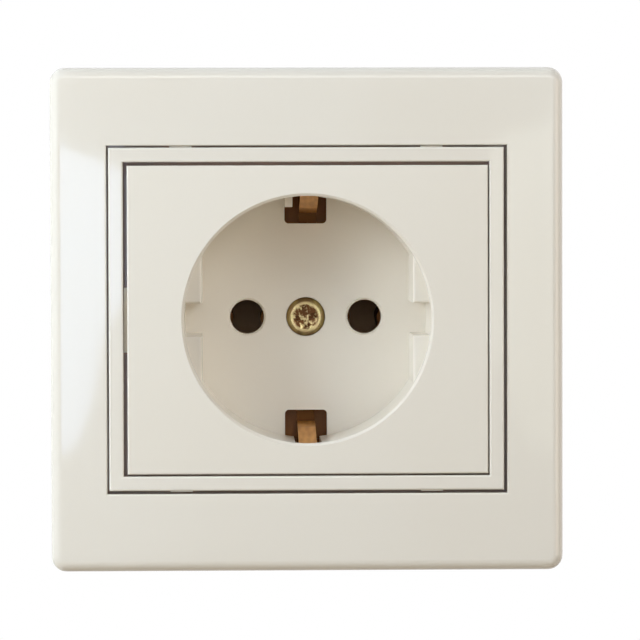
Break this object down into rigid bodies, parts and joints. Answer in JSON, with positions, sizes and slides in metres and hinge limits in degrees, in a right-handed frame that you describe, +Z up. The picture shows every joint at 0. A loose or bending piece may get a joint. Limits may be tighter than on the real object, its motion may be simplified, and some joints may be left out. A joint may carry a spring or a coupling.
{
  "type": "type f wall socket",
  "caption": "Flush wall socket with a round plug well, side earth springs, cream cover frame, steel bracket and phenolic base with screw terminals and spreading claws.",
  "frame": {"origin": "on the mechanism's centre line, where the bracket's back meets the wall's face", "axes": "+X to the right seen from the room, +Y into the wall (the front faces -Y), +Z up"},
  "size_m": [0.0808, 0.0411, 0.0794],
  "materials": {
    "cover_plastic": "gloss",
    "plate_plastic": "satin",
    "phenolic": "satin",
    "zinc_steel": "satin",
    "yellow_zinc": "satin",
    "brass": "satin",
    "spring_brass": "satin"
  },
  "bodies": {
    "housing": {"cover_frame": "cover_plastic", "trim_ring": "cover_plastic", "socket_plate": "plate_plastic", "mounting_bracket": "zinc_steel", "base_body": "phenolic", "contact_cover": "phenolic", "earth_strap": "spring_brass", "centre_screw": "yellow_zinc", "centre_nut": "zinc_steel", "bracket_screws": "zinc_steel", "cover_screws": "zinc_steel", "contact_left": "spring_brass", "contact_right": "spring_brass", "terminal_left": "brass", "terminal_right": "brass", "terminal_earth": "brass", "terminal_screw_left": "zinc_steel", "terminal_screw_right": "zinc_steel", "terminal_screw_earth": "zinc_steel"},
    "left_screw": {"claw_screw_left": "zinc_steel"},
    "left_claw": {"claw_left": "zinc_steel"},
    "right_screw": {"claw_screw_right": "zinc_steel"},
    "right_claw": {"claw_right": "zinc_steel"}
  },
  "joints": [
    {"name": "claw_lean_left", "type": "hinge", "parent": "housing", "child": "left_screw", "pos_m": [-0.0256, -0.0006, 0.0075], "axis": [0, 0, 1], "range_deg": [0, 6]},
    {"name": "claw_draw_left", "type": "slide", "parent": "left_screw", "child": "left_claw", "axis": [0, -1, 0], "range_m": [0, 0.008]},
    {"name": "claw_lean_right", "type": "hinge", "parent": "housing", "child": "right_screw", "pos_m": [0.0256, -0.0006, -0.0075], "axis": [0, 0, -1], "range_deg": [0, 6]},
    {"name": "claw_draw_right", "type": "slide", "parent": "right_screw", "child": "right_claw", "axis": [0, -1, 0], "range_m": [0, 0.008]}
  ],
  "couplings": [
    {"joint": "claw_lean_left", "follows": "claw_draw_left", "rad_per_m": 13},
    {"joint": "claw_lean_right", "follows": "claw_draw_right", "rad_per_m": 13}
  ]
}
